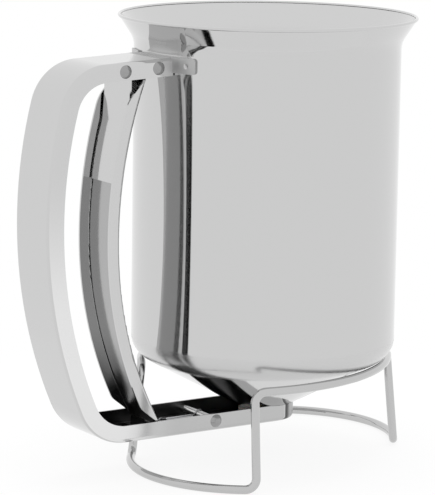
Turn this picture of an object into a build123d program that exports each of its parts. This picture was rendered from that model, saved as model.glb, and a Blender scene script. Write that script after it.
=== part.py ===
from build123d import *
import os
from math import asin, atan, atan2, cos, degrees, radians, sin, sqrt, tan

# Pancake batter dispenser: a stainless cup with a conical bottom, a pressed channel handle that
# carries a squeeze trigger and a sliding outlet valve, and a bent-wire stand that the cup lifts off.
# Millimetres, +Z up. The shapes are drawn about the cup's axis, with the table at zero height and the
# handle along -X. On export all are shifted alike, so the origin is under the middle of the whole.

# ---- cup ----
cup_radius = 50.0
cup_wall = 0.6
rim_flare = 5.75
rim_height = 167.3
lip_radius = 0.6
flare_angle = 33.0
flare_blend_share = 1.4
cone_foot_rise = 1.12
cone_slope = 28.5
base_corner_radius = 9.0

# ---- outlet ----
outlet_radius = 6.0
collar_wall = 1.5
collar_stand_up = 0.8
seal_wall = 1.2
seal_thickness = 1.0
seal_grip_height = 0.9
drip_clearance = 2.0

# ---- handle: one channel of pressed sheet ----
channel_width = 24.3
channel_depth = 6.5
channel_gauge = 0.8
channel_bend_radius = 1.6
weld_gap = 0.05
bottom_arm_height = 14.4
flare_to_arm = 0.96
top_arm_droop = 2.5
grip_reach = 100.3
grip_bow_radius = 172.0
grip_bow_height = 95.5
grip_top_bend = 19.0
grip_bottom_bend = 20.5
weld_tab_arc = 12.5
weld_tab_height = 5.7
weld_tab_step = 0.3
weld_tab_corner = 1.2
weld_spot_radius = 1.1
weld_spot_depth = 0.3
weld_spot_arc = 8.0

# ---- rivets and the sleeves on them ----
rivet_radius = 1.0
rivet_head_radius = 2.45
rivet_head_height = 1.3
rivet_clearance = 0.05
sleeve_radius = 1.5
brace_gap = 0.9
guide_x = -28.3
guide_rise = 2.95

# ---- valve slide ----
slide_gauge = 0.6
slide_side_gap = 0.75
slide_running_gap = 0.1
seat_overlap = 1.2
catch_width = 10.0
catch_drop = 0.5
catch_corner = 1.5
lug_x = -45.4
lug_width = 3.0
lug_rise = 1.95
lug_eye_radius = 0.55
window_length = 3.2
window_gap = 0.4

# ---- trigger ----
trigger_width = 21.7
trigger_gauge = 0.8
trigger_depth = 4.8
trigger_reach = 19.8
trigger_apex_height = 89.0
trigger_top_gap = 8.5
trigger_bottom_gap = 5.6
trigger_bend_radius = 1.2
flange_top_drop = 5.9
flange_top_tip_drop = 15.4
flange_top_round = 14.0
flange_bottom_gap = 2.9
flange_bottom_tip_rise = 7.2
flange_bottom_round = 6.0
stop_gap = 0.3
foot_width = 9.0
foot_gap = 1.7
foot_bend_radius = 1.4
push_gap = 0.2

# ---- hinge bracket inside the trigger ----
bracket_side_gap = 1.05
bracket_gauge = 0.8
bracket_bottom_drop = 45.3
bracket_bend_drop = 23.6
bracket_step = 0.2
bracket_reach = 3.55
bracket_ear_radius = 2.2
bracket_ear_drop = 7.1
ear_running_gap = 0.05
spacer_gap = 0.45
spacer_end_gap = 0.1

# ---- return spring ----
spring_wire_radius = 0.22
spring_coil_radius = 1.0
spring_turns = 20
spring_hook_radius = 1.15
spring_loop_gap = 0.1
spring_floor_gap = 0.15
spring_coil_start = 2.0
spring_coil_end = 2.9

# ---- wire stand: u runs across its two upper arcs, v across its two base arcs ----
wire_radius = 1.6
corner_reach = 4.2
stand_turn = 21.4
stand_shift_u = 0.9
stand_shift_v = 1.2
stand_skew = 6.5
leg_top_u = 30.6
leg_top_v = 44.2
leg_foot_u = 33.4
leg_foot_v = 46.1
front_arc_reach = 46.4
back_arc_reach = 47.7
base_arc_rise = 16.5
stand_rest_gap = 0.2


def bow_radius(rise, reach):
    """Radius of an arc that drifts by rise over a straight reach from its apex."""
    return (rise ** 2 + reach ** 2) / (2 * rise)


# ---- places that follow from the sizes above ----
rim_radius = cup_radius + rim_flare
neck_height = rim_height - rim_flare / tan(radians(flare_angle))
flare_blend_radius = flare_blend_share * rim_flare
flare_foot_height = neck_height - flare_blend_radius * tan(radians(flare_angle / 2))
top_arm_height = flare_foot_height - flare_to_arm
collar_radius = outlet_radius + collar_wall
flange_face = channel_width / 2
channel_inside = flange_face - channel_gauge
arm_floor = bottom_arm_height + channel_gauge
arm_top = bottom_arm_height + channel_depth
slide_underside = arm_floor + slide_running_gap
slide_top = slide_underside + slide_gauge
slide_half_width = channel_inside - slide_side_gap
slide_nose = outlet_radius + seat_overlap
slide_travel = 2 * outlet_radius + seat_overlap
seal_underside = slide_top + slide_running_gap
collar_underside = seal_underside + seal_thickness
cone_foot_height = collar_underside + cone_foot_rise
cone_edge_height = cone_foot_height + tan(radians(cone_slope)) * (cup_radius - collar_radius)
rivet_mid_depth = channel_depth / 2
guide_height = arm_floor + guide_rise
catch_top = arm_top - catch_drop
lug_top = slide_top + lug_rise
spacer_radius = rivet_mid_depth - channel_gauge - spacer_gap
spring_level = slide_top + spring_floor_gap + spring_coil_radius + spring_wire_radius
hook_level = slide_top + spring_floor_gap + spring_hook_radius + spring_wire_radius
hook_x = lug_x - slide_gauge / 2 - spring_wire_radius - spring_loop_gap + spring_hook_radius
lug_eye_level = hook_level - sqrt(spring_hook_radius ** 2 - (hook_x - lug_x) ** 2)
sleeve_length = 2 * channel_inside
flange_bottom = slide_top + flange_bottom_gap
flange_bottom_tip = flange_bottom + flange_bottom_tip_rise
foot_underside = slide_top + foot_gap
flange_top = top_arm_height - flange_top_drop
flange_top_tip = top_arm_height - flange_top_tip_drop
trigger_inside = trigger_width / 2 - trigger_gauge
bracket_bottom = top_arm_height - bracket_bottom_drop
bracket_bend_height = top_arm_height - bracket_bend_drop
bracket_ear_foot = top_arm_height - bracket_ear_drop
bracket_half_width = trigger_inside - bracket_side_gap
trigger_apex_x = -cup_radius - trigger_reach
trigger_upper_radius = bow_radius(trigger_reach - trigger_top_gap, flange_top - trigger_apex_height)
trigger_lower_radius = bow_radius(
    lug_x - trigger_bottom_gap - trigger_apex_x, trigger_apex_height - flange_bottom
)
trigger_upper_centre = (trigger_apex_x + trigger_upper_radius, trigger_apex_height)
trigger_lower_centre = (trigger_apex_x + trigger_lower_radius, trigger_apex_height)
axial = (0, 0, 1)
across = (0, 1, 0)
half_turn = 180


def cone_height(radius):
    """Height of the cup's outer cone at a radius."""
    return cone_edge_height - tan(radians(cone_slope)) * (cup_radius - radius)


def top_arm_level(x):
    """Height of the handle's top face at x."""
    return top_arm_height - tan(radians(top_arm_droop)) * (-cup_radius - x)


def web_x(height, offset=0.0):
    """X of the trigger's web at a height, offset towards the grip."""
    upper = height > trigger_apex_height
    radius = trigger_upper_radius if upper else trigger_lower_radius
    centre = trigger_upper_centre if upper else trigger_lower_centre
    return centre[0] - sqrt((radius + offset) ** 2 - (height - trigger_apex_height) ** 2)


bracket_upright_x = web_x(bracket_bend_height) - bracket_gauge - bracket_step
pivot_x = bracket_upright_x - bracket_reach
pivot_height = top_arm_level(pivot_x) - rivet_mid_depth - weld_gap
brace_x = web_x(top_arm_height - rivet_mid_depth) + brace_gap + sleeve_radius
brace_height = top_arm_level(brace_x) - rivet_mid_depth
weld_tab_level = top_arm_level(-cup_radius) + weld_tab_step - weld_tab_height / 2


def pin(radius, length, x, height):
    """A round bar across the handle, centred on its middle plane."""
    return Pos(x, 0, height) * Rot(90, 0, 0) * Cylinder(radius, length)


def profile(face, half_width):
    """A side view drawn in X and Z, extruded evenly to both sides."""
    return extrude(Plane.XZ * face, amount=half_width, both=True)


# ---- cup ----
def cup_path():
    """Outer line of the cup's section, from the outlet up to the rim."""
    return FilletPolyline(
        (collar_radius, cone_height(collar_radius)),
        (cup_radius, cone_edge_height),
        (cup_radius, neck_height),
        (rim_radius, rim_height),
        radius=[base_corner_radius, flare_blend_radius],
    )


def make_cup():
    wall = make_face(offset(cup_path(), amount=cup_wall, side=Side.LEFT))
    lip = Pos(rim_radius - cup_wall / 2, rim_height) * Circle(lip_radius)
    collar_bore = Pos(0, 0, collar_underside) * Cylinder(collar_radius, cone_edge_height)
    return revolve(Plane.XZ * (wall + lip), axis=Axis.Z) - collar_bore


def make_collar():
    top = cone_height(collar_radius) + cup_wall + collar_stand_up
    height = top - collar_underside
    body = Cylinder(collar_radius, height) - Cylinder(outlet_radius, height)
    rounded = fillet(body.edges().group_by(Axis.Z)[-1], collar_wall / 3)
    return Pos(0, 0, collar_underside + height / 2) * rounded


def make_seal():
    outer = collar_radius + seal_wall
    height = seal_thickness + seal_grip_height
    cup_shape = Pos(0, 0, height / 2) * Cylinder(outer, height)
    socket = Pos(0, 0, seal_thickness + height / 2) * Cylinder(collar_radius, height)
    bore = Cylinder(outlet_radius, 3 * height)
    ring = cup_shape - socket - bore
    return Pos(0, 0, seal_underside) * ring


# ---- handle ----
def bend_between(point, direction, radius):
    """Bend that joins a straight arm to the grip's bow: its ends on the arm and on the bow."""
    bow_centre = Vector(grip_bow_radius - grip_reach, grip_bow_height)
    inward = Vector(-direction.Y, direction.X)
    start = point + inward * radius - bow_centre
    along = direction.dot(start)
    reach = -along + sqrt(along ** 2 - start.dot(start) + (grip_bow_radius - radius) ** 2)
    centre = bow_centre + start + direction * reach
    on_arm = centre - inward * radius
    on_bow = bow_centre + (centre - bow_centre) * (grip_bow_radius / (grip_bow_radius - radius))
    return on_arm, on_bow


def handle_path():
    """Outer line of the handle, from the cup over the grip to the straight bottom arm."""
    droop = radians(top_arm_droop)
    start = Vector(-cup_radius + channel_gauge, top_arm_level(-cup_radius + channel_gauge))
    top_on_arm, top_on_bow = bend_between(start, Vector(-cos(droop), -sin(droop)), grip_top_bend)
    mirrored_on_arm, mirrored_on_bow = bend_between(
        Vector(0, 2 * grip_bow_height - bottom_arm_height), Vector(-1, 0), grip_bottom_bend
    )
    low_on_arm = Vector(mirrored_on_arm.X, bottom_arm_height)
    low_on_bow = Vector(mirrored_on_bow.X, 2 * grip_bow_height - mirrored_on_bow.Y)
    arm = Line(start, top_on_arm)
    top_bend = TangentArc(top_on_arm, top_on_bow, tangent=arm % 1)
    bow = TangentArc(top_on_bow, low_on_bow, tangent=top_bend % 1)
    low_bend = TangentArc(low_on_bow, low_on_arm, tangent=bow % 1)
    return Plane.XZ * Wire([arm.edge(), top_bend.edge(), bow.edge(), low_bend.edge()])


def channel_section(width, depth, gauge, bend_radius):
    """A channel's section: local X across it, local Y from its web towards the tips of its flanges."""
    outer = Rectangle(width, depth, align=(Align.CENTER, Align.MIN))
    outer = fillet(outer.vertices().group_by(Axis.Y)[0], bend_radius)
    inner = Rectangle(width - 2 * gauge, depth, align=(Align.CENTER, Align.MIN))
    inner = fillet(inner.vertices().group_by(Axis.Y)[0], bend_radius - gauge)
    return outer - Pos(0, gauge) * inner


def slot_block(half_width, tail_x, nose_centre_x, floor, top, edge_radius):
    """A bar with one round end, its lower edge rounded along both sides and round the end."""
    plan = Pos((tail_x + nose_centre_x) / 2, 0) * Rectangle(nose_centre_x - tail_x, 2 * half_width)
    plan += Pos(nose_centre_x, 0) * Circle(half_width)
    block = Pos(0, 0, floor) * extrude(plan, amount=top - floor)
    lower = block.edges().group_by(Axis.Z)[0].filter_by(lambda edge: edge.center().X > tail_x + edge_radius)
    return fillet(lower, edge_radius) if edge_radius else block


def bottom_arm(tail_x):
    """The straight bottom arm, closed by a round end about the outlet, open at the top."""
    outer = slot_block(flange_face, tail_x, 0, bottom_arm_height, arm_top, channel_bend_radius)
    inner = slot_block(
        channel_inside, tail_x - channel_depth, 0, arm_floor, arm_top + channel_depth,
        channel_bend_radius - channel_gauge,
    )
    return outer - inner


def weld_tab():
    """Ear at the end of the +Y flange, bent round the cup and spot-welded to it."""
    inner = cup_radius + weld_gap
    start_angle = degrees(asin(channel_inside / inner))
    section = Plane.XZ * (
        Pos(-inner - channel_gauge / 2, weld_tab_level) * Rectangle(channel_gauge, weld_tab_height)
    )
    tab = revolve(section, axis=Axis.Z, revolution_arc=weld_tab_arc)
    corners = tab.edges().filter_by(lambda edge: edge.length < 2 * channel_gauge)
    free_end = corners.sort_by(Axis.Y)[:2]
    tab = Rot(0, 0, start_angle) * fillet(free_end, weld_tab_corner)
    return tab


def weld_spot():
    """Shallow round dimple left by the spot weld on the +Y ear."""
    angle = degrees(asin(channel_inside / cup_radius)) + weld_spot_arc
    sphere_offset = cup_radius + weld_gap + channel_gauge - weld_spot_depth
    reach = weld_spot_radius ** 2 / (2 * weld_spot_depth)
    return Rot(0, 0, angle) * Pos(-sphere_offset - reach, 0, weld_tab_level) * Sphere(reach)


def make_handle():
    path = handle_path()
    section_plane = Plane(origin=path @ 0, z_dir=path % 0, x_dir=across)
    section = channel_section(channel_width, channel_depth, channel_gauge, channel_bend_radius)
    loop = sweep(section_plane * section, path=path)
    frame = loop + bottom_arm((path @ 1).X)
    frame -= Pos(0, 0, top_arm_height) * Cylinder(cup_radius + weld_gap, 4 * channel_depth)
    tab = weld_tab()
    frame += tab + mirror(tab, about=Plane.XZ)
    frame -= cone_clearance()
    for x, height in ((pivot_x, pivot_height), (brace_x, brace_height), (guide_x, guide_height)):
        frame -= pin(rivet_radius + rivet_clearance, 2 * channel_width, x, height)
    spot = weld_spot()
    frame -= spot + mirror(spot, about=Plane.XZ)
    drip_hole = Cylinder(outlet_radius + drip_clearance, 4 * channel_gauge)
    return frame - Pos(0, 0, bottom_arm_height) * drip_hole


def cone_clearance():
    """The cup's cone with the weld gap, as a solid that trims the round end of the arm."""
    low = channel_inside / 2
    below = cone_height(low) - weld_gap
    edge = cone_height(cup_radius) - weld_gap
    side = Polyline((0, below), (low, below), (cup_radius, edge), (0, edge), close=True)
    return revolve(Plane.XZ * make_face(side), axis=Axis.Z)


# ---- rivets, sleeves, spacers ----
def make_rivet(x, height):
    """A rivet through both flanges, with a domed head on each side."""
    shank = pin(rivet_radius, channel_width, x, height)
    dome_radius = (rivet_head_radius ** 2 + rivet_head_height ** 2) / (2 * rivet_head_height)
    sink = dome_radius - rivet_head_height
    dome = Pos(0, 0, -sink) * Sphere(dome_radius)
    dome &= Pos(0, 0, dome_radius) * Box(4 * dome_radius, 4 * dome_radius, 2 * dome_radius)
    head = Pos(x, -flange_face, height) * Rot(90, 0, 0) * dome
    return shank + head + mirror(head, about=Plane.XZ)


def make_sleeve(x, height):
    """A tube round a rivet that keeps the two flanges apart."""
    tube = pin(sleeve_radius, sleeve_length, x, height)
    return tube - pin(rivet_radius + rivet_clearance, 2 * sleeve_length, x, height)


def make_spacers():
    """Two rings on the pivot sleeve that centre the hinge bracket between the flanges."""
    length = channel_inside - bracket_half_width - 2 * spacer_end_gap
    ring = pin(spacer_radius, length, pivot_x, pivot_height)
    ring -= pin(sleeve_radius + ear_running_gap, 2 * length, pivot_x, pivot_height)
    middle = (channel_inside + bracket_half_width) / 2
    near = Pos(0, -middle, 0) * ring
    return near + mirror(near, about=Plane.XZ)


# ---- trigger ----
def bow_arcs(offset_out, top, bottom):
    """The trigger's side curve, offset towards the grip, from a top height down to a bottom height."""
    upper = trigger_upper_radius + offset_out
    lower = trigger_lower_radius + offset_out
    rise = degrees(asin((top - trigger_apex_height) / upper))
    stop = degrees(asin(max(bottom - trigger_apex_height, 0) / upper))
    arcs = [CenterArc(trigger_upper_centre, upper, half_turn - rise, rise - stop)]
    if bottom < trigger_apex_height:
        fall = degrees(asin((trigger_apex_height - bottom) / lower))
        arcs.append(CenterArc(trigger_lower_centre, lower, half_turn, fall))
    return arcs


def band(inner, outer, top, bottom):
    """Side view of a sheet that follows the trigger's curve."""
    near, far = bow_arcs(inner, top, bottom), bow_arcs(outer, top, bottom)
    ends = [Line(near[0] @ 0, far[0] @ 0), Line(near[-1] @ 1, far[-1] @ 1)]
    return make_face(near + far + ends)


def outer_corner(face, height):
    """The corner of a side view nearest the grip at a height."""
    return face.vertices().filter_by(lambda v: abs(v.Y - height) < trigger_gauge).sort_by(Axis.X)[:1]


def trigger_outline():
    """Side view of the trigger's flanges: a crescent with tapered, rounded ends."""
    web = bow_arcs(0, flange_top, flange_bottom)
    tips = bow_arcs(trigger_depth, flange_top_tip, flange_bottom_tip)
    ends = [Line(web[0] @ 0, tips[0] @ 0), Line(web[-1] @ 1, tips[-1] @ 1)]
    face = make_face(web + tips + ends)
    face = fillet(outer_corner(face, flange_top_tip), flange_top_round)
    return fillet(outer_corner(face, flange_bottom_tip), flange_bottom_round)


def trigger_foot():
    """Narrow tongue below the web, bent towards the grip, that pushes the slide's catch."""
    knee = web_x(flange_bottom) - trigger_gauge
    toe = catch_face() + push_gap
    upper_face = foot_underside + trigger_gauge
    line = FilletPolyline(
        (knee, flange_bottom + 2 * trigger_gauge), (knee, upper_face), (toe, upper_face),
        radius=foot_bend_radius - trigger_gauge,
    )
    return profile(make_face(offset(line, amount=trigger_gauge, side=Side.LEFT)), foot_width / 2)


def trigger_channel():
    """The trigger's bowed channel, turned about its two bow centres, before its ends are trimmed."""
    section = channel_section(trigger_width, trigger_depth, trigger_gauge, trigger_bend_radius)
    apex = Plane(origin=(trigger_apex_x, 0, trigger_apex_height), x_dir=across, z_dir=axial)
    upper = Axis((trigger_upper_centre[0], 0, trigger_apex_height), across)
    lower = Axis((trigger_lower_centre[0], 0, trigger_apex_height), (0, -1, 0))
    upper_turn = degrees(asin((top_arm_height - trigger_apex_height) / trigger_upper_radius))
    lower_turn = degrees(asin((trigger_apex_height - bottom_arm_height) / trigger_lower_radius))
    channel = revolve(apex * section, axis=upper, revolution_arc=upper_turn)
    return channel + revolve(apex * section, axis=lower, revolution_arc=lower_turn)


def make_trigger():
    tongue_top = top_arm_level(web_x(pivot_height)) - channel_gauge - stop_gap
    outline = trigger_outline() + band(0, trigger_gauge, tongue_top, flange_bottom)
    return (trigger_channel() & profile(outline, trigger_width)) + trigger_foot()


# ---- hinge bracket ----
def bracket_side():
    """Side view of the bracket's plate: it follows the trigger's web, then stands up to the pivot."""
    rear = bow_arcs(trigger_gauge + weld_gap, bracket_bend_height, bracket_bottom)
    front = bow_arcs(trigger_gauge + weld_gap + bracket_gauge, bracket_bend_height, bracket_bottom)
    knee_height = bracket_bend_height + 2 * trigger_depth
    rear_x = bracket_upright_x + bracket_gauge
    upright = Polyline(
        rear[0] @ 0, (rear_x, knee_height), (rear_x, pivot_height),
        (bracket_upright_x, pivot_height), (bracket_upright_x, knee_height), front[0] @ 0,
    )
    return make_face(rear + front + [*upright.edges(), Line(rear[0] @ 1, front[0] @ 1)])


def make_bracket():
    rear_x = bracket_upright_x + bracket_gauge
    ear = make_hull(
        (Pos(pivot_x, pivot_height) * Circle(bracket_ear_radius)).edges()
        + [Line((rear_x, bracket_ear_foot), (rear_x, pivot_height + bracket_gauge))]
    )
    ears = profile(ear, bracket_half_width) - profile(ear, bracket_half_width - bracket_gauge)
    bracket = profile(bracket_side(), bracket_half_width) + ears
    return bracket - pin(sleeve_radius + ear_running_gap, trigger_width, pivot_x, pivot_height)


# ---- valve slide ----
def catch_face():
    """X of the catch's face that the trigger's foot pushes."""
    return web_x(flange_bottom) - trigger_gauge - 2 * foot_bend_radius


def standing_sheet(outline, x):
    """A tab of the slide's sheet, turned up across the slide, its rear face at x."""
    plane = Plane(origin=(x, 0, slide_underside), x_dir=across, z_dir=(1, 0, 0))
    return extrude(plane * outline, amount=slide_gauge)


def make_slide():
    tail = catch_face() - slide_gauge
    nose_centre = slide_nose - slide_half_width
    strip = slot_block(slide_half_width, tail, nose_centre, slide_underside, slide_top, 0)
    corners = strip.edges().filter_by(Axis.Z).group_by(Axis.X)[0]
    strip = fillet(corners, catch_corner)
    catch = Rectangle(catch_width, catch_top - slide_underside, align=(Align.CENTER, Align.MIN))
    catch = fillet(catch.vertices().group_by(Axis.Y)[-1], catch_corner)
    strip += standing_sheet(catch, tail)
    lug = Rectangle(lug_width, lug_top - slide_underside, align=(Align.CENTER, Align.MIN))
    lug = fillet(lug.vertices().group_by(Axis.Y)[-1], lug_width / 3)
    lug -= Pos(0, lug_eye_level - slide_underside) * Circle(lug_eye_radius)
    strip += standing_sheet(lug, lug_x - slide_gauge / 2)
    window = Pos(lug_x + slide_gauge / 2 + window_gap + window_length / 2, 0, slide_underside)
    return strip - window * Box(window_length, lug_width + window_gap, 4 * slide_gauge)


# ---- return spring ----
def close_coils(start, stop):
    """Touching coils drawn as a ridged tube, one ridge to a turn."""
    pitch = (stop - start) / spring_turns
    bore = spring_coil_radius - spring_wire_radius
    crest = spring_coil_radius + spring_wire_radius
    outline = [(start, bore)]
    for turn in range(spring_turns):
        outline.append((start + turn * pitch, spring_coil_radius))
        outline.append((start + (turn + 0.5) * pitch, crest))
    outline += [(stop, spring_coil_radius), (stop, bore)]
    side_view = Pos(0, spring_level) * make_face(Polyline(*outline, close=True))
    return revolve(Plane.XZ * side_view, axis=Axis((0, 0, spring_level), (1, 0, 0)))


def make_spring():
    """Extension spring: close coils, an open hook in the slide's lug and a loop round the guide sleeve."""
    loop_radius = sleeve_radius + spring_loop_gap + spring_wire_radius
    coil_from, coil_to = hook_x + spring_coil_start, guide_x - spring_coil_end
    spring = close_coils(coil_from, coil_to)
    stem_level = spring_level + spring_coil_radius
    rings = (
        (hook_x, hook_level, spring_hook_radius, coil_from),
        (guide_x, guide_height, loop_radius, coil_to),
    )
    for ring_x, ring_level, ring_radius, stem_end in rings:
        ring = Pos(ring_x, 0, ring_level) * Rot(90, 0, 0) * Torus(ring_radius, spring_wire_radius)
        side = 1 if stem_end > ring_x else -1
        stem_start = ring_x + side * sqrt(ring_radius ** 2 - (stem_level - ring_level) ** 2)
        stem_end += side * 2 * spring_wire_radius
        stem = Pos((stem_start + stem_end) / 2, 0, stem_level) * Rot(0, 90, 0)
        spring += ring + stem * Cylinder(spring_wire_radius, abs(stem_end - stem_start))
    return spring


# ---- wire stand ----
def stand_point(plan, height):
    """A point given in the stand's own plan axes, in the shared frame."""
    turn = radians(stand_turn)
    x = plan.X * sin(turn) + plan.Y * cos(turn)
    y = plan.Y * sin(turn) - plan.X * cos(turn)
    return Vector(x, y, height)


def leg_end(side_u, side_v, half_u, half_v):
    """Plan position of a leg's upper or lower corner."""
    return Vector(side_u * half_u + stand_shift_u, side_v * half_v + stand_shift_v - side_u * stand_skew)


def bowed_arc(first, last, rise):
    """Arc bowed out between two corners, stopping short of each so that a bend fits there."""
    chord = last - first
    half = chord.length / 2
    along = chord.normalized()
    out = Vector(along.Y, -along.X)
    radius = (rise ** 2 + half ** 2 - corner_reach ** 2) / (2 * rise)
    angle = atan2(half, radius - rise) - atan(corner_reach / radius)
    middle = (first + last) * 0.5 + out * rise
    back = out * (radius * (1 - cos(angle)))
    side = along * (radius * sin(angle))
    return middle - side - back, middle, middle + side - back


def wire_corner(before, corner, after):
    """Bend that joins two runs of wire, each ending corner_reach from the corner."""
    return TangentArc(before, after, tangent=corner - before)


def make_stand():
    """One closed loop of wire: two arcs under the cone, four legs, two arcs on the table."""
    ring = [(1, -1), (1, 1), (-1, 1), (-1, -1)]
    tops = [leg_end(u, v, leg_top_u, leg_top_v) for u, v in ring]
    feet = [leg_end(u, v, leg_foot_u, leg_foot_v) for u, v in ring]
    upper_arcs = [
        bowed_arc(tops[0], tops[1], front_arc_reach - tops[0].X),
        bowed_arc(tops[2], tops[3], back_arc_reach + tops[2].X),
    ]
    base_arcs = [bowed_arc(feet[1], feet[2], base_arc_rise), bowed_arc(feet[3], feet[0], base_arc_rise)]
    nearest = min(ThreePointArc(*arc).edge().distance_to(Vector(0, 0, 0)) for arc in upper_arcs)
    rest_height = cone_height(nearest) - (wire_radius + stand_rest_gap) / cos(radians(cone_slope))
    uppers = [[stand_point(point, rest_height) for point in arc] for arc in upper_arcs]
    bases = [[stand_point(point, wire_radius) for point in arc] for arc in base_arcs]
    runs = [ThreePointArc(*arc) for arc in uppers + bases]
    upper_ends = [uppers[0][0], uppers[0][2], uppers[1][0], uppers[1][2]]
    base_ends = [bases[1][2], bases[0][0], bases[0][2], bases[1][0]]
    for top, foot, upper_end, base_end in zip(tops, feet, upper_ends, base_ends):
        knee, heel = stand_point(top, rest_height), stand_point(foot, wire_radius)
        down = (heel - knee).normalized()
        leg_start, leg_stop = knee + down * corner_reach, heel - down * corner_reach
        runs += [wire_corner(upper_end, knee, leg_start), Line(leg_start, leg_stop)]
        runs.append(wire_corner(base_end, heel, leg_stop))
    pieces = [sweep(Plane(origin=run @ 0, z_dir=run % 0) * Circle(wire_radius), path=run) for run in runs]
    stand = pieces[0]
    for piece in pieces[1:]:
        stand += piece
    return stand


def export_all():
    os.makedirs("parts", exist_ok=True)
    nodes = {
        "cup_body": make_cup(),
        "outlet_collar": make_collar(),
        "outlet_seal": make_seal(),
        "handle_frame": make_handle(),
        "pivot_rivet": make_rivet(pivot_x, pivot_height),
        "pivot_sleeve": make_sleeve(pivot_x, pivot_height),
        "pivot_spacers": make_spacers(),
        "brace_rivet": make_rivet(brace_x, brace_height),
        "brace_sleeve": make_sleeve(brace_x, brace_height),
        "guide_rivet": make_rivet(guide_x, guide_height),
        "guide_sleeve": make_sleeve(guide_x, guide_height),
        "trigger_bow": make_trigger(),
        "hinge_bracket": make_bracket(),
        "valve_slide": make_slide(),
        "return_spring": make_spring(),
        "wire_stand": make_stand(),
    }
    boxes = [shape.bounding_box() for shape in nodes.values()]
    middle_x = (min(box.min.X for box in boxes) + max(box.max.X for box in boxes)) / 2
    middle_y = (min(box.min.Y for box in boxes) + max(box.max.Y for box in boxes)) / 2
    to_origin = Pos(-middle_x, -middle_y, 0)
    for name, shape in nodes.items():
        export_step(to_origin * shape, f"parts/{name}.step")
    travel = degrees(slide_travel / (pivot_height - foot_underside))
    print(f"slide travel {slide_travel:.2f} mm, trigger travel {travel:.2f} degrees")
    print(f"cup axis at x {-middle_x:.4f}, y {-middle_y:.4f}; pivot at x {pivot_x:.4f}, z {pivot_height:.4f}")


export_all()
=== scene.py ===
"""Looks of the pancake batter dispenser: steel finishes, grain, weld marks, studio and camera."""

import logging
import math
from dataclasses import dataclass, replace
from enum import Enum
from typing import Optional, Sequence

import bpy
from mathutils import Matrix, Vector


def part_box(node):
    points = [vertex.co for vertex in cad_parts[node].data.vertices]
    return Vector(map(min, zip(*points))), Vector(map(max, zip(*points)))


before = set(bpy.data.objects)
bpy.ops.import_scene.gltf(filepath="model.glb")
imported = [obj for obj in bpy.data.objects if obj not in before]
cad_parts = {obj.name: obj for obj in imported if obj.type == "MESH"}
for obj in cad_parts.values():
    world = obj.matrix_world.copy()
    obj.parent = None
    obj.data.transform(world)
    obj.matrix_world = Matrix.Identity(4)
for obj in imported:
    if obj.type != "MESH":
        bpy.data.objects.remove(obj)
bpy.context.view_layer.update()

LOG = logging.getLogger("dispenser")
MM = 0.001

Colour = tuple[float, float, float, float]
Socket = bpy.types.NodeSocket


# ---------------------------------------------------------------- small helpers


def linear(hex_colour: str) -> Colour:
    """Turns an sRGB hex colour into Blender's linear colour.

    Args:
        hex_colour: a colour such as "#b8bcc0".

    Returns:
        Red, green, blue and an alpha of one, all linear.
    """
    channels = [int(hex_colour[i : i + 2], 16) / 255 for i in (1, 3, 5)]
    values = [c / 12.92 if c <= 0.04045 else ((c + 0.055) / 1.055) ** 2.4 for c in channels]
    return (values[0], values[1], values[2], 1.0)


def grey(level: float) -> Colour:
    """A neutral linear colour.

    Args:
        level: how bright it is, where one is white.

    Returns:
        The colour.
    """
    return (level, level, level, 1.0)


def add_node(
    tree: bpy.types.NodeTree,
    kind: str,
    inputs: Optional[dict] = None,
    settings: Optional[dict] = None,
) -> bpy.types.Node:
    """Adds a node, sets it up and links what feeds it.

    Args:
        tree: the node tree that gets the node.
        kind: the node's Blender type name.
        inputs: socket name or index to a constant or to an output socket.
        settings: attribute name to value.

    Returns:
        The new node.
    """
    node = tree.nodes.new(kind)
    for name, value in (settings or {}).items():
        setattr(node, name, value)
    for key, value in (inputs or {}).items():
        if isinstance(value, bpy.types.NodeSocket):
            tree.links.new(value, node.inputs[key])
        else:
            node.inputs[key].default_value = value
    return node


def calc(tree: bpy.types.NodeTree, operation: str, *values: object) -> Socket:
    """Adds one arithmetic step.

    Args:
        tree: the node tree that gets the step.
        operation: the Math node's operation.
        *values: constants or output sockets, in order.

    Returns:
        The result's socket.
    """
    inputs = dict(enumerate(values))
    return add_node(tree, "ShaderNodeMath", inputs, {"operation": operation}).outputs[0]


def split(tree: bpy.types.NodeTree, vector: Socket) -> tuple[Socket, Socket, Socket]:
    """Splits a vector.

    Args:
        tree: the node tree.
        vector: the vector's socket.

    Returns:
        Its X, Y and Z sockets.
    """
    parts = add_node(tree, "ShaderNodeSeparateXYZ", {0: vector}).outputs
    return parts[0], parts[1], parts[2]


def along(tree: bpy.types.NodeTree, vector: Socket, axis: Sequence[float]) -> Socket:
    """Part of a vector along a direction.

    Args:
        tree: the node tree.
        vector: the vector's socket.
        axis: the direction.

    Returns:
        The length's socket.
    """
    inputs = {0: vector, 1: tuple(axis)}
    return add_node(tree, "ShaderNodeVectorMath", inputs, {"operation": "DOT_PRODUCT"}).outputs["Value"]


def rise(tree: bpy.types.NodeTree, value: Socket, start: float, stop: float) -> Socket:
    """Rises smoothly from zero to one between two values.

    Args:
        tree: the node tree.
        value: the value's socket.
        start: where it leaves zero.
        stop: where it reaches one.

    Returns:
        The factor's socket.
    """
    inputs = {0: value, 1: start, 2: stop, 3: 0.0, 4: 1.0}
    return add_node(tree, "ShaderNodeMapRange", inputs, {"interpolation_type": "SMOOTHSTEP"}).outputs[0]


def blend(tree: bpy.types.NodeTree, factor: Socket, first: object, second: object) -> Socket:
    """Mixes two levels.

    Args:
        tree: the node tree.
        factor: zero for the first, one for the second.
        first: socket or constant.
        second: socket or constant.

    Returns:
        The mixed level's socket.
    """
    return add_node(tree, "ShaderNodeMix", {0: factor, 2: first, 3: second}).outputs[0]


def deselect_all() -> None:
    """Leaves nothing selected."""
    bpy.ops.object.select_all(action="DESELECT")


# ---------------------------------------------------------------- finishes

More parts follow.
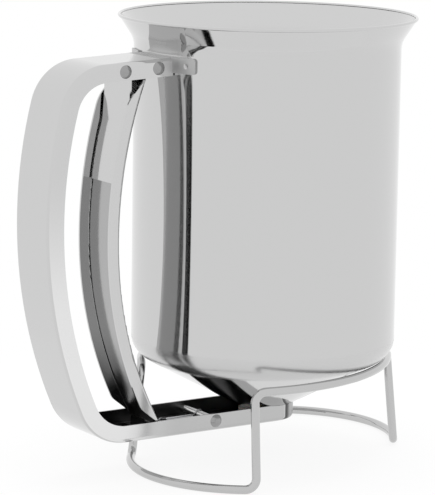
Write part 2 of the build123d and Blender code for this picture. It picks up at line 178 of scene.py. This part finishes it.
QUARTER_TURN = 0.25
# A zone's box passes its piece by this much, in millimetres, so that its fade lies off the piece.
PAST = 1.0


class Grain(Enum):
    """The way a sheet's ground lines run."""

    AROUND_CUP = "level rings round the cup"
    ALONG_HANDLE = "along the handle's strip"
    ALONG_ARM = "along the bottom arm"


@dataclass(frozen=True)
class Zone:
    """A stretch of a piece whose finish differs, or whose tone holds painted shade or a painted reflection,
    as a box in the part's own millimetres.

    Attributes:
        low: its lowest corner.
        high: its highest corner.
        tone: the colour there: the metal's own, or one with painted shade or a painted reflection in it.
        roughness: spread of the reflections there.
        fade_mm: how far its edges blend out along X, Y and Z.
        facing: way the faces in it look, or None for all of them.
        facing_fade: how far a face's normal points that way where the zone starts and where it is full.
    """

    low: tuple[float, float, float]
    high: tuple[float, float, float]
    tone: str
    roughness: float
    fade_mm: tuple[float, float, float] = (0.3, 0.1, 0.3)
    facing: Optional[tuple[float, float, float]] = None
    facing_fade: tuple[float, float] = (-0.5, -0.2)

    def mask(self, tree: bpy.types.NodeTree) -> Socket:
        """Works out where the zone is.

        Args:
            tree: the material's node tree.

        Returns:
            Socket that is one in the zone and zero outside it.
        """
        place = add_node(tree, "ShaderNodeTexCoord")
        inside = None
        for axis, value in enumerate(split(tree, place.outputs["Object"])):
            fade = self.fade_mm[axis] * MM
            above = rise(tree, value, self.low[axis] * MM - fade, self.low[axis] * MM)
            below = rise(tree, value, self.high[axis] * MM + fade, self.high[axis] * MM)
            both = calc(tree, "MULTIPLY", above, below)
            inside = both if inside is None else calc(tree, "MULTIPLY", inside, both)
        if self.facing:
            look = along(tree, place.outputs["Normal"], self.facing)
            inside = calc(tree, "MULTIPLY", inside, rise(tree, look, *self.facing_fade))
        return inside


@dataclass(frozen=True)
class Finish:
    """What every metal finish here shares.

    Attributes:
        name: the material's name.
        tone: the metal's own colour.
        roughness: spread of the reflections.
        zones: stretches whose finish differs, or whose tone holds painted shade or a painted reflection.
    """

    name: str
    tone: str = "#cbcbcb"
    roughness: float = 0.1
    zones: tuple[Zone, ...] = ()

    def start(self) -> tuple[bpy.types.Material, bpy.types.NodeTree, bpy.types.Node]:
        """Makes a metal material with one shader.

        Returns:
            The material, its node tree and its shader.
        """
        material = bpy.data.materials.new(self.name)
        material.use_nodes = True
        tree = material.node_tree
        shader = tree.nodes["Principled BSDF"]
        shader.inputs["Base Color"].default_value = linear(self.tone)
        shader.inputs["Metallic"].default_value = 1.0
        shader.inputs["Roughness"].default_value = self.roughness
        colour, spread = linear(self.tone), self.roughness
        for zone in self.zones:
            mask = zone.mask(tree)
            inputs = {0: mask, 6: colour, 7: linear(zone.tone)}
            colour = add_node(tree, "ShaderNodeMix", inputs, {"data_type": "RGBA"}).outputs[2]
            spread = add_node(tree, "ShaderNodeMix", {0: mask, 2: spread, 3: zone.roughness}).outputs[0]
        if self.zones:
            tree.links.new(colour, shader.inputs["Base Color"])
            tree.links.new(spread, shader.inputs["Roughness"])
        return material, tree, shader


@dataclass(frozen=True)
class GroundSteel(Finish):
    """Sheet ground with a fine belt: it mirrors sharply along the lines and smears across them.

    Attributes:
        grain: the way the lines run.
        smear: how much more the reflections spread across the lines.
        line_mm: width of a line.
        streak_mm: length of a line.
        depth_mm: height of the lines for the eye.
        dent_mm: height of the sheet's slight waves.
        wave_mm: size of those waves.
    """

    grain: Grain = Grain.AROUND_CUP
    smear: float = 0.6
    line_mm: float = 0.5
    streak_mm: float = 9.0
    depth_mm: float = 0.003
    dent_mm: float = 0.0
    wave_mm: float = 9.0

    def line_space(self, tree: bpy.types.NodeTree, place: Socket) -> Socket:
        """Coordinates in which every line is one unit wide and long.

        Args:
            tree: the material's node tree.
            place: the place on the piece.

        Returns:
            The vector's socket.
        """
        long, short = 1 / (self.streak_mm * MM), 1 / (self.line_mm * MM)
        scale = {
            Grain.AROUND_CUP: (long, long, short),
            Grain.ALONG_HANDLE: (long, short, long),
            Grain.ALONG_ARM: (long, short, short),
        }[self.grain]
        return add_node(
            tree, "ShaderNodeVectorMath", {0: place, 1: scale}, {"operation": "MULTIPLY"}
        ).outputs[0]

    def build(self) -> bpy.types.Material:
        """Makes the material.

        Returns:
            The material.
        """
        material, tree, shader = self.start()
        place = add_node(tree, "ShaderNodeTexCoord").outputs["Object"]
        space = self.line_space(tree, place)
        # Stretched noise: the belt's lines. Real ones are finer, so these are as coarse as they need to
        # be to show as thin streaks.
        lines = add_node(
            tree, "ShaderNodeTexNoise", {"Vector": space, "Scale": 1.0, "Detail": 3.0, "Roughness": 0.6}
        ).outputs[0]
        bump = add_node(
            tree, "ShaderNodeBump", {"Strength": 1.0, "Distance": self.depth_mm * MM, "Height": lines}
        )
        if self.dent_mm:
            # Slow waves: pressed strip is never quite flat, so what it mirrors wobbles a little.
            inputs = {"Vector": place, "Scale": 1 / (self.wave_mm * MM)}
            waves = add_node(tree, "ShaderNodeTexNoise", inputs).outputs[0]
            inputs = {"Distance": self.dent_mm * MM, "Height": waves, "Normal": bump.outputs[0]}
            bump = add_node(tree, "ShaderNodeBump", inputs)
        tree.links.new(bump.outputs[0], shader.inputs["Normal"])
        shader.inputs["Anisotropic"].default_value = self.smear
        if self.grain is Grain.AROUND_CUP:
            tangent = add_node(tree, "ShaderNodeTangent", settings={"direction_type": "RADIAL", "axis": "Z"})
            tree.links.new(tangent.outputs[0], shader.inputs["Tangent"])
            shader.inputs["Anisotropic Rotation"].default_value = QUARTER_TURN
        return material


@dataclass(frozen=True)
class SpunSteel(GroundSteel):
    """Ground sheet of a spun cup, whose inside keeps the spinning tool's duller surface.

    Attributes:
        axis_x: X of the cup's axis, in metres.
        inner_roughness: spread of the reflections inside.
        inner_tone: the metal's colour inside.
        inner_fade: how far a face looks at the axis, times its distance from it in metres, where the
            inside's finish starts and where it is full.
    """

    axis_x: float = 0.0
    inner_roughness: float = 0.17
    inner_tone: str = "#cfcfcf"
    inner_fade: tuple[float, float] = (-0.002, -0.008)

    def build(self) -> bpy.types.Material:
        """Makes the material.

        Returns:
            The material.
        """
        material = super().build()
        tree = material.node_tree
        shader = tree.nodes["Principled BSDF"]
        place = add_node(tree, "ShaderNodeTexCoord")
        inputs = {0: place.outputs["Object"], 1: (self.axis_x, 0, 0)}
        spot = add_node(tree, "ShaderNodeVectorMath", inputs, {"operation": "SUBTRACT"}).outputs[0]
        level = add_node(
            tree, "ShaderNodeVectorMath", {0: spot, 1: (1, 1, 0)}, {"operation": "MULTIPLY"}
        ).outputs[0]
        inputs = {0: level, 1: place.outputs["Normal"]}
        outward = add_node(
            tree, "ShaderNodeVectorMath", inputs, {"operation": "DOT_PRODUCT"}
        ).outputs["Value"]
        inside = rise(tree, outward, *self.inner_fade)
        colour, spread = linear(self.tone), self.roughness
        if self.zones:
            colour = shader.inputs["Base Color"].links[0].from_socket
            spread = shader.inputs["Roughness"].links[0].from_socket
        spread = blend(tree, inside, spread, self.inner_roughness)
        tree.links.new(spread, shader.inputs["Roughness"])
        inputs = {0: inside, 6: colour, 7: linear(self.inner_tone)}
        colour = add_node(tree, "ShaderNodeMix", inputs, {"data_type": "RGBA"}).outputs[2]
        tree.links.new(colour, shader.inputs["Base Color"])
        return material


@dataclass(frozen=True)
class BrightSteel(Finish):
    """Polished steel with faint drawing waves, for wire, rivets and the spring.

    Attributes:
        wave_mm: size of the waves.
        depth_mm: height of the waves for the eye.
    """

    wave_mm: float = 2.0
    depth_mm: float = 0.004

    def build(self) -> bpy.types.Material:
        """Makes the material.

        Returns:
            The material.
        """
        material, tree, shader = self.start()
        place = add_node(tree, "ShaderNodeTexCoord").outputs["Object"]
        # Soft waves: drawn and headed steel keeps faint swells under its polish.
        waves = add_node(
            tree, "ShaderNodeTexNoise", {"Vector": place, "Scale": 1 / (self.wave_mm * MM), "Detail": 2.0}
        ).outputs[0]
        bump = add_node(
            tree, "ShaderNodeBump", {"Strength": 1.0, "Distance": self.depth_mm * MM, "Height": waves}
        )
        tree.links.new(bump.outputs[0], shader.inputs["Normal"])
        return material


@dataclass(frozen=True)
class Silicone:
    """Pale food-grade silicone: soft, a little see-through.

    Attributes:
        name: the material's name.
        tone: its colour.
        cloud_tone: its colour where it is cloudier.
        cloud_mm: size of the clouds.
        roughness: spread of its gloss.
        glow: share of the light that enters it.
        glow_mm: how deep that light goes.
    """

    name: str
    tone: str = "#e4e3de"
    cloud_tone: str = "#d6d5cf"
    cloud_mm: float = 4.0
    roughness: float = 0.5
    glow: float = 0.2
    glow_mm: float = 1.0

    def build(self) -> bpy.types.Material:
        """Makes the material.

        Returns:
            The material.
        """
        material = bpy.data.materials.new(self.name)
        material.use_nodes = True
        tree = material.node_tree
        shader = tree.nodes["Principled BSDF"]
        place = add_node(tree, "ShaderNodeTexCoord").outputs["Object"]
        # Soft clouds: moulded silicone is slightly uneven in depth, so its white isn't flat.
        inputs = {"Vector": place, "Scale": 1 / (self.cloud_mm * MM)}
        cloud = add_node(tree, "ShaderNodeTexNoise", inputs).outputs[0]
        inputs = {0: cloud, 6: linear(self.tone), 7: linear(self.cloud_tone)}
        colour = add_node(tree, "ShaderNodeMix", inputs, {"data_type": "RGBA"}).outputs[2]
        tree.links.new(colour, shader.inputs["Base Color"])
        shader.inputs["Roughness"].default_value = self.roughness
        shader.inputs["Subsurface Weight"].default_value = self.glow
        shader.inputs["Subsurface Scale"].default_value = self.glow_mm * MM
        return material


def dress(node: bpy.types.Object, material: bpy.types.Material) -> None:
    """Gives a piece one finish.

    Args:
        node: the piece.
        material: its finish.
    """
    for slot in node.material_slots:
        slot.material = material
    if not node.material_slots:
        node.data.materials.append(material)
    LOG.info("%s: %s", node.name, material.name)


# ---------------------------------------------------------------- sub-assemblies


@dataclass
class Cup:
    """Cup, outlet collar and seal.

    Attributes:
        sheet: finish of the cup.
        collar: finish of the outlet collar.
        seal: finish of the seal.
        corner_low: height of the lower edge of the base corner, in millimetres.
        corner_high: height of its upper edge.
        corner_fade: height over which its finish blends out.
        corner_roughness: spread of the reflections on it.
    """

    sheet: SpunSteel = SpunSteel("brushed_stainless_cup", roughness=0.05, depth_mm=0.0045, streak_mm=14.0)
    collar: GroundSteel = GroundSteel("turned_stainless_collar", roughness=0.15)
    seal: Silicone = Silicone("silicone_seal")
    corner_low: float = 38.5
    corner_high: float = 46.0
    corner_fade: float = 1.5
    corner_roughness: float = 0.24

    def build(self) -> None:
        """Dresses the cup's pieces. Its base corner is ground a little duller than the wall."""
        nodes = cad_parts
        low, high = (Vector(corner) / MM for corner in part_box("cup_body"))
        corner = Zone(
            (low.x - PAST, low.y - PAST, self.corner_low),
            (high.x + PAST, high.y + PAST, self.corner_high),
            self.sheet.tone,
            self.corner_roughness,
            fade_mm=(0.1, 0.1, self.corner_fade),
        )
        sheet = replace(self.sheet, axis_x=(low.x + high.x) / 2 * MM, zones=(corner,))
        dress(nodes["cup_body"], sheet.build())
        dress(nodes["outlet_collar"], self.collar.build())
        dress(nodes["outlet_seal"], self.seal.build())


@dataclass
class Handle:
    """Handle with its rivets, sleeves and spacers. Lengths are in millimetres.

    Attributes:
        sheet: finish of the strip.
        rivet: finish of the rivets.
        tube: finish of the sleeves and spacers.
        sleeve_play: play between the guide sleeve's end and the inside's painted shade.
        flange_gap: gap between the inside's painted shade and a flange's painted light.
        flange_reach: how far a flange's painted reflection and painted shade reach across the strip.
        flange_height: height to which the flanges' painted reflection is brightest.
        arm_start: start of the bottom arm's duller flanges, darkened by painted shade, from the back of the
            grip.
        arm_height: height of those.
        tab_start: start of the weld tab, from the cup's wall.
        tab_drop: reach of the weld tab below the strip's top.
        web_start: start of the bottom arm's inside, from the back of the grip.
        web_height: height of that inside.
        end_length: length of the bottom arm's end, rougher from its cut, with a darker tone that is painted
            shade.
        end_height: height of that end.
    """

    sheet: GroundSteel = GroundSteel(
        "brushed_stainless_handle", grain=Grain.ALONG_HANDLE, smear=0.3, roughness=0.09, dent_mm=0.004
    )
    rivet: BrightSteel = BrightSteel("bright_rivet_steel", tone="#9e9e9e", roughness=0.2)
    tube: GroundSteel = GroundSteel(
        "turned_stainless_sleeve", grain=Grain.ALONG_HANDLE, roughness=0.2, smear=0.0
    )
    sleeve_play: float = 0.3
    flange_gap: float = 0.2
    flange_reach: float = 6.0
    flange_height: float = 45.0
    arm_start: float = 56.0
    arm_height: float = 12.0
    tab_start: float = 2.5
    tab_drop: float = 22.0
    web_start: float = 14.0
    web_height: float = 24.0
    end_length: float = 6.0
    end_height: float = 20.0

    def flange_zones(self, low: Vector, high: Vector, half: float) -> list[Zone]:
        """Works out the flanges' look: a painted reflection, brightest low down, and duller flanges along
        the bottom arm, darkened by painted shade.

        Args:
            low: the strip's lowest corner.
            high: the strip's highest corner.
            half: half the width of the channel's inside.

        Returns:
            The zones.
        """
        starts = (-half - self.flange_reach - self.flange_gap, half + self.flange_gap)
        # Painted reflection: a lighter tone, brightest low down, for the bright light that the flanges
        # mirror.
        bright = [
            Zone(
                (low.x, start, low.z),
                (high.x, start + self.flange_reach, low.z + self.flange_height),
                "#e4e4e4",
                0.12,
                fade_mm=(0.1, 0.1, 60.0),
            )
            for start in starts
        ]
        # Painted shade: a darker tone along the bottom arm's flanges. Their higher roughness is the finish.
        arm = [
            Zone(
                (low.x + self.arm_start, start, low.z),
                (high.x, start + self.flange_reach, low.z + self.arm_height),
                "#bebebe",
                0.2,
                fade_mm=(26.0, 0.1, 10.0),
            )
            for start in starts
        ]
        return bright + arm

    def zones(self) -> tuple[Zone, ...]:
        """Works out where the strip's finish differs and where painted light lies on it.

        The weld tab and the bottom arm's end are duller, and the end's darker tone is painted shade. The
        flanges carry a painted reflection low down and painted shade along the bottom arm. Inside the bottom
        arm a dark tone stands in for the dark that the hollow mirrors: the steel there is the same.

        Returns:
            The zones.
        """
        low, high = (Vector(corner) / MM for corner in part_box("handle_frame"))
        cup_low = Vector(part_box("cup_body")[0]) / MM
        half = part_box("guide_sleeve")[1][1] / MM + self.sleeve_play
        tab = Zone(
            (cup_low.x + self.tab_start, low.y, high.z - self.tab_drop),
            tuple(high),
            "#c2c2c2",
            0.34,
            fade_mm=(1.5, 0.5, 1.0),
        )
        inside = Zone(
            (low.x + self.web_start, -half, low.z),
            (high.x, half, low.z + self.web_height),
            "#5c5c5c",
            0.3,
            facing=(0.7, 0, 0.7),
        )
        # Painted shade: the end's darker tone. Its higher roughness is the finish.
        end = Zone(
            (high.x - self.end_length, low.y, low.z),
            (high.x, high.y, low.z + self.end_height),
            "#b8b8b8",
            0.32,
            fade_mm=(2.0, 0.5, 0.5),
        )
        return (*self.flange_zones(low, high, half), tab, inside, end)

    def build(self) -> None:
        """Dresses the handle's pieces."""
        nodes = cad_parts
        dress(nodes["handle_frame"], replace(self.sheet, zones=self.zones()).build())
        rivet, tube = self.rivet.build(), self.tube.build()
        for name in ("pivot_rivet", "brace_rivet", "guide_rivet"):
            dress(nodes[name], rivet)
        for name in ("pivot_sleeve", "brace_sleeve", "guide_sleeve", "pivot_spacers"):
            dress(nodes[name], tube)


@dataclass
class Trigger:
    """Trigger bow and the bracket that hinges it.

    Attributes:
        sheet: finish of the bow.
        plate: finish of the bracket.
        gauge: thickness of the bow's sheet, in millimetres.
        gauges_in: how many gauges in from the bow's side its inside starts.
        foot_height: height of the foot, in millimetres.
        foot_fade: height over which the foot's finish and painted shade blend out, in millimetres.
    """

    sheet: GroundSteel = GroundSteel(
        "brushed_stainless_trigger", grain=Grain.ALONG_HANDLE, smear=0.3, roughness=0.09, dent_mm=0.003
    )
    plate: GroundSteel = GroundSteel("brushed_stainless_bracket", grain=Grain.ALONG_HANDLE, smear=0.3)
    gauge: float = 0.8
    gauges_in: float = 1.05
    foot_height: float = 4.0
    foot_fade: float = 34.0

    def zones(self) -> tuple[Zone, ...]:
        """Works out the channel's inside and its foot.

        Their darker tones stand in for the dark that the channel mirrors: the steel there is the same.

        Returns:
            The zones.
        """
        low, high = (Vector(corner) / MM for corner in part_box("trigger_bow"))
        half = high.y - self.gauge * self.gauges_in
        start = (low.x - PAST, -half, low.z - PAST)
        towards_grip = (-1, 0, 0)
        hollow = Zone(start, (high.x + PAST, half, high.z + PAST), "#adadad", 0.12, facing=towards_grip)
        foot = Zone(
            start,
            (high.x + PAST, half, low.z + self.foot_height),
            "#7e7e7e",
            0.28,
            fade_mm=(0.3, 0.1, self.foot_fade),
            facing=towards_grip,
        )
        return (hollow, foot)

    def build(self) -> None:
        """Dresses the trigger's pieces."""
        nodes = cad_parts
        dress(nodes["trigger_bow"], replace(self.sheet, zones=self.zones()).build())
        dress(nodes["hinge_bracket"], self.plate.build())


@dataclass
class Valve:
    """Outlet slide and its return spring.

    The slide's dark tone stands in for the dark that it mirrors inside the arm: its steel is plain.
    """

    # Painted shade: the slide's dark tone stands in for the dark that it mirrors inside the arm.
    sheet: GroundSteel = GroundSteel(
        "mill_stainless_slide_painted_shade", tone="#626262", grain=Grain.ALONG_ARM, roughness=0.28, smear=0.3
    )
    wire: BrightSteel = BrightSteel("bright_spring_wire", tone="#bcbcbe", roughness=0.15)

    def build(self) -> None:
        """Dresses the valve's pieces."""
        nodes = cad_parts
        dress(nodes["valve_slide"], self.sheet.build())
        dress(nodes["return_spring"], self.wire.build())


@dataclass
class Stand:
    """Bent-wire stand."""

    wire: BrightSteel = BrightSteel("polished_stand_wire", tone="#c0c0c0", roughness=0.08)

    def build(self) -> None:
        """Dresses the stand."""
        dress(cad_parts["wire_stand"], self.wire.build())


# ---------------------------------------------------------------- studio


@dataclass
class Studio:
    """White table sheet, plain white room, lamp and camera.

    Attributes:
        cup_x: X of the cup's axis, in metres.
        camera_place: where the camera stands, from the cup's axis, in millimetres.
        camera_aim: what it looks at, likewise.
        camera_roll: its tilt about the line of sight, in degrees.
        lens: its focal length, in millimetres.
        sensor: width of its sensor, in millimetres.
        far_clip: how far it sees, in metres.
        room_light: how bright the room is, where one is white.
        floor_size: width of the sheet, in metres.
        sheet_grey: how much of the light the sheet throws back.
        shadow_fade: distances from the cup's axis between which the sheet's shadow fades out, in metres.
        shadow_white: share of plain white in the sheet where its shadow is full.
        lamp_place: where the lamp hangs, in metres.
        lamp_size: its diameter, in metres.
        lamp_power: its power, in watts.
    """

    cup_x: float = 18.7008 * MM
    camera_place: tuple[float, float, float] = (-576.31, -858.83, 266.77)
    camera_aim: tuple[float, float, float] = (-14.594, 9.792, 79.188)
    camera_roll: float = 0.862
    lens: float = 202.07
    sensor: float = 36.0
    far_clip: float = 50.0
    room_light: float = 1.0
    floor_size: float = 12.0
    sheet_grey: float = 0.9
    shadow_fade: tuple[float, float] = (0.07, 0.2)
    shadow_white: float = 0.88
    lamp_place: tuple[float, float, float] = (0.1, 0.1, 1.4)
    lamp_size: float = 0.9
    lamp_power: float = 6.0

    def shown(self, tree: bpy.types.NodeTree) -> Socket:
        """Picks the rays that see the white background: the camera's, and those of metal and glass.

        Args:
            tree: the node tree.

        Returns:
            Socket that is one for camera, glossy and transmitted rays and zero for the others.
        """
        path = add_node(tree, "ShaderNodeLightPath").outputs
        shiny = calc(tree, "MAXIMUM", path["Is Glossy Ray"], path["Is Transmission Ray"])
        return calc(tree, "MAXIMUM", path["Is Camera Ray"], shiny)

    def floor(self) -> None:
        """Lays the white sheet on the table.

        The camera, metal and glass see it white, with the object's shadow. Dull pieces see the sheet as
        the lamp and the room light it.
        """
        deselect_all()
        bpy.ops.mesh.primitive_plane_add(size=self.floor_size, location=(0, 0, 0))
        floor = bpy.context.active_object
        floor.name = "studio_floor"
        material = bpy.data.materials.new("white_sheet_on_table")
        material.use_nodes = True
        tree = material.node_tree
        tree.nodes.clear()
        place = add_node(tree, "ShaderNodeTexCoord").outputs["Object"]
        inputs = {0: place, 1: (self.cup_x, 0, 0)}
        spot = add_node(tree, "ShaderNodeVectorMath", inputs, {"operation": "SUBTRACT"}).outputs[0]
        distance = add_node(tree, "ShaderNodeVectorMath", {0: spot}, {"operation": "LENGTH"}).outputs["Value"]
        lit = add_node(tree, "ShaderNodeBsdfDiffuse", {"Color": grey(self.sheet_grey)}).outputs[0]
        white = add_node(tree, "ShaderNodeEmission", {"Color": grey(1.0), "Strength": 1.0}).outputs[0]
        far = calc(tree, "MAXIMUM", rise(tree, distance, *self.shadow_fade), self.shadow_white)
        paper = add_node(tree, "ShaderNodeMixShader", {0: far, 1: lit, 2: white}).outputs[0]
        both = add_node(tree, "ShaderNodeMixShader", {0: self.shown(tree), 1: lit, 2: paper}).outputs[0]
        add_node(tree, "ShaderNodeOutputMaterial", {0: both})
        floor.data.materials.append(material)
        LOG.info("%s: %s", floor.name, material.name)

    def room(self) -> None:
        """Makes the room: plain white all round, for every ray alike."""
        world = bpy.data.worlds.new("studio_room")
        bpy.context.scene.world = world
        world.use_nodes = True
        tree = world.node_tree
        tree.nodes.clear()
        background = add_node(tree, "ShaderNodeBackground", {0: grey(1.0), 1: self.room_light})
        add_node(tree, "ShaderNodeOutputWorld", {0: background.outputs[0]})

    def lamp(self) -> None:
        """Hangs one broad soft lamp overhead, for the floor's soft shadow and the dull pieces."""
        data = bpy.data.lights.new("overhead_lamp", "AREA")
        data.shape = "DISK"
        data.size = self.lamp_size
        data.energy = self.lamp_power
        lamp = bpy.data.objects.new("overhead_lamp", data)
        lamp.location = self.lamp_place
        lamp.visible_glossy = False
        lamp.visible_camera = False
        bpy.context.scene.collection.objects.link(lamp)

    def camera(self) -> None:
        """Sets up the camera, on the handle's side and a little above the cup."""
        shift = Vector((self.cup_x, 0, 0))
        place = Vector(self.camera_place) * MM + shift
        aim = Vector(self.camera_aim) * MM + shift
        data = bpy.data.cameras.new("camera")
        data.lens = self.lens
        data.sensor_width = self.sensor
        data.clip_end = self.far_clip
        camera = bpy.data.objects.new("camera", data)
        bpy.context.scene.collection.objects.link(camera)
        turn = (aim - place).to_track_quat("-Z", "Y").to_matrix()
        roll = Matrix.Rotation(math.radians(self.camera_roll), 3, "Z")
        camera.matrix_world = Matrix.Translation(place) @ (turn @ roll).to_4x4()
        bpy.context.scene.camera = camera

    def build(self) -> None:
        """Puts up the studio."""
        self.floor()
        self.room()
        self.lamp()
        self.camera()
        bpy.context.scene.view_settings.view_transform = "Standard"


def main() -> None:
    """Dresses the sub-assemblies and puts up the studio."""
    logging.basicConfig(level=logging.INFO, format="%(message)s")
    deselect_all()
    for part in (Cup(), Handle(), Trigger(), Valve(), Stand(), Studio()):
        part.build()


if __name__ == "__main__":
    main()
